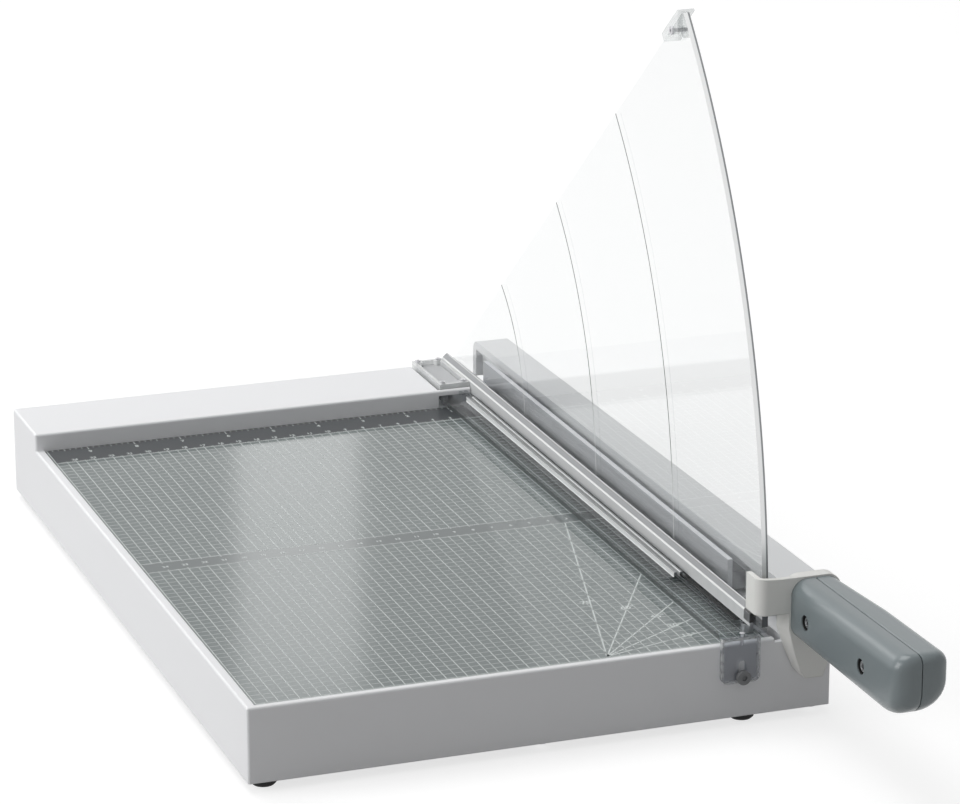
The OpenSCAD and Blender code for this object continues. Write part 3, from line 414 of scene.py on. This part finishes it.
def strips(starts, ends, widths, low=-0.01, high=INK):
    """One box for each line: its corners are the ends -+ width / 2 across the line."""
    a, b = np.asarray(starts, float), np.asarray(ends, float)
    along = (b - a) / np.linalg.norm(b - a, axis=1)[:, None]
    across = np.stack([-along[:, 1], along[:, 0]], 1) * np.reshape(widths, (-1, 1)) / 2
    ring = np.stack([a - across, b - across, b + across, a + across], 1)
    n = len(ring)
    lower = np.concatenate([ring, np.full((n, 4, 1), low)], 2)
    upper = np.concatenate([ring, np.full((n, 4, 1), high)], 2)
    verts = np.concatenate([lower, upper], 1).reshape(-1, 3)
    box = np.array([[3, 2, 1, 0], [4, 5, 6, 7], [0, 1, 5, 4], [1, 2, 6, 5],
                    [2, 3, 7, 6], [3, 0, 4, 7]])
    faces = (box[None] + 8 * np.arange(n)[:, None, None]).reshape(-1, 4)
    return verts, faces


def mesh_piece(name, verts, faces, finish, body, smooth=False):
    """A mesh piece from arrays of points in metres and faces, riding on a body."""
    mesh = bpy.data.meshes.new(name)
    mesh.from_pydata(np.asarray(verts).tolist(), [], [list(f) for f in faces])
    mesh.materials.append(finishes[finish].material)
    mesh.polygons.foreach_set("use_smooth", [smooth] * len(mesh.polygons))
    mesh.update()
    made = bpy.data.objects.new(name, mesh)
    bpy.context.scene.collection.objects.link(made)
    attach(made, body)
    return made


LEFT, RIGHT, DEEP, BACK = -250.75, -3.6, 360.7, 383.3
MID0, MID1 = 181.8, 195.1
STEP, FIRST_X = 5, -245
FINE, CROSS, BOLD, BORDER, HUB_LINE = 0.28, 0.26, 0.4, 0.45, 0.75
lines = []


def rule(x0, y0, x1, y1, w):
    lines.append((x0, y0, x1, y1, w))


for k in range(49):
    x = FIRST_X + STEP * k
    w = FINE if x % (2 * STEP) else BOLD
    rule(x, 0, x, MID0, w)
    rule(x, MID1, x, DEEP, w)
for k in range(72):
    y = STEP * k + 1
    if not MID0 - 1 < y < MID1 + 1:
        rule(LEFT, y, RIGHT, y, CROSS)
for y, w in ((0, BORDER), (MID0, BOLD), (MID1, BOLD), (DEEP, BORDER)):
    rule(LEFT, y, RIGHT, y, w)
rule(LEFT, 0, LEFT, BACK, BORDER)
print("grid lines:", len(lines))

# %% [markdown]
# The rulers count from the cutting line: centimetres along the grid, inches along the
# back. Every tenth millimetre gets a longer tick.

# %% Ruler ticks and protractor
TICK, INNER_SHARE, INCH = 0.42, 0.7, 25.4
for mm in range(5, 250):
    long = 2.6 if mm % 10 == 0 else 1.8 if mm % 5 == 0 else 1.2
    rule(-mm, DEEP, -mm, DEEP + long, TICK)
    rule(-mm, MID0, -mm, MID0 + long * INNER_SHARE, TICK)
    rule(-mm, MID1, -mm, MID1 - long * INNER_SHARE, TICK)
for eighth in range(2, 79):
    x = -eighth * INCH / 8
    long = 4.2 if eighth % 8 == 0 else 3.0 if eighth % 4 == 0 else 2.0
    rule(x, BACK, x, BACK - long, BORDER)
hub = np.array([-81.25, 1.8])
for degrees, reach in ((75, 186.2), (60, 112.5), (45, 79.5), (30, 65.0), (15, 58.2)):
    tip = hub + reach * np.array([math.cos(math.radians(degrees)),
                                  math.sin(math.radians(degrees))])
    rule(*hub, *tip, HUB_LINE)
table = np.array(lines)
finishes["white_ink"] = coated("white_ink", (0.66, 0.7, 0.69), 0.5, 2000, 0.00001, 0.0)
verts, faces = strips(table[:, :2], table[:, 2:4], table[:, 4])
mesh_piece("bed_print_lines", bed(verts), faces, "white_ink", "base")
print("ink boxes:", len(table))

# %% [markdown]
# The figures are plain numbers in Blender's own typeface. A text object gives the outline;
# it becomes a mesh first, and its place on the bed goes into the mesh.

# %% Ruler figures
labels = [(str(n), -10 * n, 363.6, 3.4) for n in range(3, 25)]
labels += [(str(n), -10 * n, 187.0, 3.2) for n in range(3, 25)]
labels += [(str(n), -INCH * n, 374.2, 4.2) for n in range(1, 10)]
labels += [("75°", -63.8, 69.5, 5.4), ("60°", -48.5, 56.5, 5.4),
           ("45°", -39.3, 41.0, 5.4), ("30°", -36.3, 27.0, 5.4),
           ("15°", -35.0, 13.0, 5.4)]


def lettering(rows):
    """Outlines of all the labels as one mesh: each is its text, centred on its place."""
    points, polygons, count = [], [], 0
    for text, x, y, size in rows:
        curve = bpy.data.curves.new("label", "FONT")
        curve.body, curve.size, curve.align_x = text, size, "CENTER"
        curve.extrude, curve.resolution_u, curve.offset = 0.018, 3, 0.06
        shape = bpy.data.objects.new("label", curve)
        bpy.context.scene.collection.objects.link(shape)
        mesh = bpy.data.meshes.new_from_object(
            shape.evaluated_get(bpy.context.evaluated_depsgraph_get()))
        co = np.zeros(len(mesh.vertices) * 3, np.float32)
        mesh.vertices.foreach_get("co", co)
        points.append(co.reshape(-1, 3) + (x, y, 0.008))
        polygons += [[v + count for v in p.vertices] for p in mesh.polygons]
        count += len(mesh.vertices)
        bpy.data.objects.remove(shape)
        bpy.data.curves.remove(curve)
        bpy.data.meshes.remove(mesh)
    return np.concatenate(points), polygons


points, polygons = lettering(labels)
figures = mesh_piece("bed_print_figures", bed(points), polygons, "white_ink", "base")
print("figures:", len(labels), "labels,", len(figures.data.polygons), "faces")

# %% [markdown]
# ## The handle
# The grip is moulded in two halves that meet in a narrow seam. Each half is a surface of
# two parameters: one runs from the collar to the nose, the other round the section. The
# section is a rounded rectangle, open at the seam, and near the nose every side draws in
# along a quarter ellipse, each side by its own length and depth.

# %% Handle halves
SEAM_X, REAR_Y, NOSE_Y = 17.0, -12.02, -126.0
STATIONS, ARC, SEAM_GAP, SEAM_LIP, FLAT = 60, 9, 0.22, 0.45, 0.2


def draw_in(to_nose, length, depth):
    """A quarter ellipse: depth * (1 - sqrt(1 - s * s)), s = 1 - to_nose / length."""
    s = np.clip(1 - to_nose / length, 0, 1)
    return depth * (1 - np.sqrt(1 - s * s))


def handle_half(side, width, top, low, top_r, low_r, nose):
    """Grid of points: rows from collar to nose, columns round the half section."""
    share = np.linspace(0, 1, STATIONS) ** 0.75
    y = REAR_Y + (NOSE_Y - REAR_Y) * share
    to_nose = y - NOSE_Y
    w = np.interp(share, *width) - draw_in(to_nose, *nose[0])
    high = np.interp(share, *top) - draw_in(to_nose, *nose[1])
    deep = np.interp(share, *low) + draw_in(to_nose, *nose[2])
    shrink = np.clip(np.minimum(w / 11, (high - deep) / 26), 0.3, 1)
    w, high, deep, shrink = (v[:, None] for v in (w, high, deep, shrink))
    a = np.linspace(0, math.pi / 2, ARC)
    edge = np.full((STATIONS, 1), SEAM_GAP)
    room = w - SEAM_GAP - SEAM_LIP - FLAT
    rt, rl = np.minimum(top_r * shrink, room), np.minimum(low_r * shrink, room)
    x = np.hstack([edge, edge + SEAM_LIP, w - rt + rt * np.sin(a), w - rl + rl * np.cos(a),
                   edge + SEAM_LIP, edge])
    z = np.hstack([high - SEAM_LIP, high, high - rt + rt * np.cos(a),
                   deep + rl - rl * np.sin(a), deep, deep + SEAM_LIP])
    return np.stack([SEAM_X + side * x, np.repeat(y[:, None], x.shape[1], 1), z], 2)


def closed_tube(grid):
    """Quads between the rows of a grid whose columns close, with a face on each end."""
    rows, cols = grid.shape[:2]
    at = np.arange(rows * cols).reshape(rows, cols)
    a, b = at[:-1], at[1:]
    quads = np.stack([a, b, np.roll(b, -1, 1), np.roll(a, -1, 1)], 2).reshape(-1, 4)
    caps = [at[0].tolist(), at[-1, ::-1].tolist()]
    return quads.tolist() + caps


TOP, LOW = ([0, 1], [31.5, 33.4]), ([0, 1], [2.3, 2.3])
SHAPES = {
    "handle_left": (-1, ([0, 1], [12.2, 12.2]), TOP, LOW, 8, 7,
                    ((8, 7), (5.0, 3.1), (19.2, 12.0))),
    "handle_right": (1, ([0, 0.45, 0.85, 1], [11.4, 14.4, 14.4, 14.4]), TOP, LOW, 5.8, 14.0,
                     ((8, 6.1), (5.0, 3.1), (19.2, 12.0))),
}
SCREW_AT, SOCKET_R = [(-27.7, 15.7), (-88.2, 16.5)], 3.75
SOCKET_FLOOR, OUTSIDE, HANDLE_SHARP = 8.2, 30, 38


def turn_outward(obj):
    """Flip the faces if the signed volume, a sum of tetrahedra a . (b x c), is not above 0."""
    mesh = obj.data
    mesh.calc_loop_triangles()
    co = np.array([v.co[:] for v in mesh.vertices])
    tri = np.array([t.vertices[:] for t in mesh.loop_triangles])
    a, b, c = co[tri[:, 0]], co[tri[:, 1]], co[tri[:, 2]]
    if float(np.einsum("ij,ij->i", a, np.cross(b, c)).sum()) <= 0:
        mesh.flip_normals()


def bored(piece, y, z, x0, x1, radius):
    """Cut a round recess along X with a Boolean, and apply it."""
    turn = np.linspace(0, 2 * math.pi, 48, endpoint=False)
    ring = np.stack([y + radius * np.cos(turn), z + radius * np.sin(turn)], 1)
    pts = np.array([[(x, *p) for p in ring] for x in (x0, x1)])
    tool = mesh_piece("tool", bed(pts.reshape(-1, 3)), closed_tube(pts),
                      "black_rubber", "lever")
    turn_outward(tool)
    cut = piece.modifiers.new("recess", "BOOLEAN")
    cut.operation, cut.solver, cut.object = "DIFFERENCE", "EXACT", tool
    graph = bpy.context.evaluated_depsgraph_get()
    mesh = bpy.data.meshes.new_from_object(piece.evaluated_get(graph))
    piece.modifiers.remove(cut)
    piece.data = mesh
    bpy.data.objects.remove(tool)


for name, shape in SHAPES.items():
    grid = handle_half(*shape)
    half_piece = mesh_piece(name + "_skin", bed(grid.reshape(-1, 3)),
                            closed_tube(grid), "grey_plastic", "lever")
    turn_outward(half_piece)
    x_out = SEAM_X + shape[0] * OUTSIDE
    for y, z in SCREW_AT:
        bored(half_piece, y, z, SEAM_X + shape[0] * SOCKET_FLOOR, x_out, SOCKET_R)
    half_piece.data.polygons.foreach_set("use_smooth", [True] * len(half_piece.data.polygons))
    half_piece.data.set_sharp_from_angle(angle=math.radians(HANDLE_SHARP))
    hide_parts(name)
    print(name, "faces:", len(half_piece.data.polygons))

# %% [markdown]
# Each recess holds a hexagon socket screw: a ring with a rounded edge and a six-sided
# well. The two screws are one profile turned about the screw's axis; the well's wall uses
# the distance of a hexagon from its middle, r / cos(angle to the nearest flat). A thin black
# sleeve inside each recess is painted shade, the shade deep in the recess round the head.

# %% Handle screw heads
HEAD_X, RECESS_SHADE_X = 5.75, 5.65
HEAD = [(0.0, 1.8), (1.3, 1.8), (1.35, 0.05), (1.47, 0.0), (2.3, 0.0), (2.55, 0.12),
        (2.65, 0.45), (2.65, 3.0), (0.0, 3.0)]
RECESS_SHADE = [(0.0, 2.9), (3.66, 2.9), (3.66, -0.3), (3.74, -0.3), (3.74, 3.1), (0.0, 3.1)]
SPOKES = 48


def turned(y, z, x0, profile=HEAD, hexagon=(1, 2)):
    """Points (depth along +X, radius round the axis); some rings are hexagons."""
    a = np.linspace(0, 2 * math.pi, SPOKES, endpoint=False)
    hexed = 1 / np.cos((a + math.pi / 6) % (math.pi / 3) - math.pi / 6)
    rows = []
    for k, (radius, depth) in enumerate(profile):
        reach = radius * (hexed if k in hexagon else 1.0) * np.ones(SPOKES)
        rows.append(np.stack([np.full(SPOKES, x0 + depth), y + reach * np.cos(a),
                              z + reach * np.sin(a)], 1))
    return np.stack(rows)


def joined(name, grids, finish, body, sharp=40):
    """All the grids as one piece of closed tubes, turned outward."""
    points, faces, count = [], [], 0
    for grid in grids:
        faces += [[v + count for v in f] for f in closed_tube(grid)]
        points.append(grid.reshape(-1, 3))
        count += grid.shape[0] * grid.shape[1]
    made = mesh_piece(name, bed(np.concatenate(points)), faces, finish, body, True)
    turn_outward(made)
    made.data.set_sharp_from_angle(angle=math.radians(sharp))
    return made


finishes["socket_screw"] = metal("socket_screw", (0.42, 0.43, 0.44), 0.35, (1, 1, 1))
heads = joined("handle_screw_heads", [turned(y, z, HEAD_X) for y, z in SCREW_AT],
               "socket_screw", "lever")
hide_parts("handle_screws")
# Painted shade: a black sleeve inside each recess, round the screw head.
joined("handle_recess_painted_shade",
       [turned(y, z, RECESS_SHADE_X, RECESS_SHADE, ()) for y, z in SCREW_AT], "black_rubber", "lever")
print("screw heads:", len(SCREW_AT))

# %% [markdown]
# ## The fan's rim and its engraved arcs
# The rim of the clear fan is sawn and flame-polished. A thin skin over the rim carries
# painted light: a painted highlight makes its left part a light grey ribbon, painted shade
# darkens its right side, and low down a painted reflection of the dark parts below turns it
# almost black. Its points lie on circles about the lever's pivot, so one angle and the two
# sides give the grid. The engraved arcs are ribbons of the same kind laid on the fan's left
# face, pale low down as a painted highlight and dark higher up as painted shade.

# %% Rim and arcs
PIVOT_Y, PIVOT_Z, RIM_R = 401.0, 4.0, 407.5
rim_finish = Finish("rim_painted_light", Metallic=0.65, Roughness=0.28)
rim_x = (rim_finish.axis(0) - float(CORNER[0])) * 1000.0
rim_z = (rim_finish.axis(2) - float(CORNER[2])) * 1000.0
# Painted light on the rim skin: a painted highlight left of x = -5.2 mm, painted shade right of
# it, and below about 52 mm a painted reflection of the dark parts below, almost black under 10
# mm.
ribbon = rim_finish.blend(rim_x.above(-5.2), (0.95, 0.96, 0.96), (0.28, 0.29, 0.30))
rim_finish.set(Base_Color=rim_finish.blend(rim_z.soft_step(10.0, 52.0), (0.05, 0.055, 0.06),
                                           ribbon))
rim_finish.relief(rim_finish.noise(600), 0.1, 0.00002)
finishes["rim_painted_light"] = rim_finish
engraved = Finish("engraved", Roughness=0.6)
height = (engraved.axis(2) - float(CORNER[2])) * 1000.0
# Painted light on the arcs: pale as a painted highlight below 38 mm, dark as painted shade above
# 62 mm, blended between.
engraved.set(Base_Color=engraved.blend(height.soft_step(38.0, 62.0), (0.75, 0.76, 0.76),
                                       (0.05, 0.053, 0.053)))
finishes["engraved"] = engraved


def arc_box(radius, deep, x0, x1, start, end, count):
    """Box bent round the pivot: radius..radius + deep, x0..x1, between two angles."""
    a = np.radians(np.linspace(start, end, count))[:, None]
    r = np.array([radius, radius + deep, radius + deep, radius])
    x = np.array([x0, x0, x1, x1])
    return np.stack([np.broadcast_to(x, (count, 4)), PIVOT_Y - r * np.cos(a),
                     PIVOT_Z + r * np.sin(a)], 2)


joined("fan_rim_skin", [arc_box(RIM_R - 0.02, 0.08, -7.31, -4.29, 0.5, 42.1, 160)],
       "rim_painted_light", "press")
FAN_EDGE, FAN_ANGLE = 22.7, 39.0
ARC_SHARES = [0.228, 0.482, 0.736]
arcs = []
for share in ARC_SHARES:
    reach = RIM_R * share
    last = FAN_ANGLE + math.degrees(math.asin(FAN_EDGE / reach)) - 0.05
    first = math.degrees(math.asin((15.6 - PIVOT_Z) / reach))
    arcs.append(arc_box(reach - 0.32, 0.64, -7.34, -7.29, first, last, 90))
joined("fan_arcs", arcs, "engraved", "press")
print("fan arcs:", len(arcs))

# %% [markdown]
# ## Dress the CAD parts
# Each CAD node takes the finish that its slot in the record names. The clear parts differ
# in how they are finished, the front guide screw is dull grey, and the handle's nuts are black.

# %% Finishes on the frame
slot_of = {p["node"]: p["material_slot"] for p in frame["record"]["subparts"]}
SPECIAL = {"guide_screw": "dull_screw", "guard_fan": "fan_plastic",
           "press_bar": "bar_plastic", "front_bracket": "bracket_plastic",
           "tip_clip": "tip_moulding", "rear_tray": "thin_moulding",
           "handle_nuts": "black_screw", "blade": "blade_steel"}
for name, part in nodes.items():
    part.data.materials.clear()
    part.data.materials.append(finishes[SPECIAL.get(name, slot_of[name])].material)
print("dressed:", len(nodes))

# %% [markdown]
# ## Studio
# A pale floor, a white world, and a few large soft lamps: one overhead and to the back,
# one from the left. The camera, gloss and glass see the background as white, while the
# object gets only a plain amount of light from it.

# %% World and floor
world = bpy.data.worlds.new("studio")
bpy.context.scene.world = world
world.use_nodes = True
tree = world.node_tree
AMBIENT, FLOOR_GLOW = 0.335, 0.72
sky = tree.nodes["Background"]
seen = tree.nodes.new("ShaderNodeLightPath")


def seen_rays(tree, seen):
    """1 for camera, glossy and transmission rays, and 0 for the rest."""
    first = tree.nodes.new("ShaderNodeMath")
    first.operation = "MAXIMUM"
    second = tree.nodes.new("ShaderNodeMath")
    second.operation = "MAXIMUM"
    tree.links.new(seen.outputs["Is Camera Ray"], first.inputs[0])
    tree.links.new(seen.outputs["Is Glossy Ray"], first.inputs[1])
    tree.links.new(first.outputs[0], second.inputs[0])
    tree.links.new(seen.outputs["Is Transmission Ray"], second.inputs[1])
    return second.outputs[0]


strength = tree.nodes.new("ShaderNodeMapRange")
strength.inputs["To Min"].default_value = AMBIENT
strength.inputs["To Max"].default_value = 1.0
tree.links.new(seen_rays(tree, seen), strength.inputs["Value"])
tree.links.new(strength.outputs[0], sky.inputs["Strength"])
sky.inputs["Color"].default_value = (1, 1, 1, 1)

ground = Finish("floor", Base_Color=(0.4, 0.4, 0.4), Roughness=1.0, Specular_IOR_Level=0.0)
glow = ground.node("Emission", None, {"Color": (1.0, 1.0, 1.0)})
lit = seen_rays(ground.tree, ground.node("LightPath"))
ground.put(glow.inputs["Strength"], Signal(ground, lit) * FLOOR_GLOW)
both = ground.node("AddShader", None, {0: ground.shader.outputs[0], 1: glow.outputs[0]})
ground.tree.links.new(both.outputs[0], ground.output.inputs["Surface"])
floor_mesh = bpy.data.meshes.new("floor")
half = 12.0
floor_mesh.from_pydata([(-half, -half, 0), (half, -half, 0), (half, half, 0),
                        (-half, half, 0)], [], [(0, 1, 2, 3)])
floor_mesh.materials.append(ground.material)
floor = bpy.data.objects.new("floor", floor_mesh)
bpy.context.scene.collection.objects.link(floor)
print("floor and world ready")

# %% [markdown]
# ## Lamps
# A large lamp overhead gives the soft shadow, and one on the left lights the faces that the
# camera sees. Two weaker ones behind the trimmer brighten the bed's gloss and the fan.

# %% Lamps


def softbox(name, place, aim, width, height, power):
    """A rectangular lamp at place, turned so that its -Z points at aim."""
    light = bpy.data.lights.new(name, "AREA")
    light.shape, light.size, light.size_y = "RECTANGLE", width, height
    light.energy = power
    lamp = bpy.data.objects.new(name, light)
    bpy.context.scene.collection.objects.link(lamp)
    lamp.location = place
    lamp.rotation_euler = (Vector(aim) - Vector(place)).to_track_quat("-Z", "Y").to_euler()
    return lamp


lamps = [
    softbox("overhead", (-0.5, 0.9, 2.4), (0, 0.05, 0), 1.6, 1.6, 26.5),
    softbox("left", (-2.4, 0.2, 1.1), (0, 0, 0.05), 1.4, 1.4, 27),
    softbox("bed_glow", (0.67, 2.40, 0.90), (-0.03, 0.14, 0.04), 0.14, 0.42, 0.24),
    softbox("fan_glow", (-0.6, 2.65, 1.15), (0, 0, 0.1), 1.3, 1.0, 7.5),
]
print("lamps:", len(lamps))

# %% [markdown]
# ## Camera
# The camera was solved from the printed grid: its place, its three directions and the
# focal length in pixels of a 960 pixel wide picture.

# %% Camera
FOCAL_PIXELS, WIDTH_PIXELS = 4104.71, 960
CAMERA_AT = (-736.353, -1642.048, 686.150)
right = Vector((0.940603, -0.339507, -0.000764))
down = Vector((-0.103661, -0.285049, -0.952891))
forward = Vector((0.323295, 0.896372, -0.303312))
data = bpy.data.cameras.new("camera")
data.sensor_width = 36.0
data.sensor_fit = "HORIZONTAL"
data.lens = 36.0 * FOCAL_PIXELS / WIDTH_PIXELS
data.clip_start, data.clip_end = 0.05, 50
camera = bpy.data.objects.new("camera", data)
bpy.context.scene.collection.objects.link(camera)
turn = Matrix((right, -down, -forward)).transposed().to_4x4()
camera.matrix_world = Matrix.Translation(bed(CAMERA_AT)) @ turn
bpy.context.scene.camera = camera
bpy.context.scene.view_settings.view_transform = "Standard"
print("lens:", round(data.lens, 2), "mm")
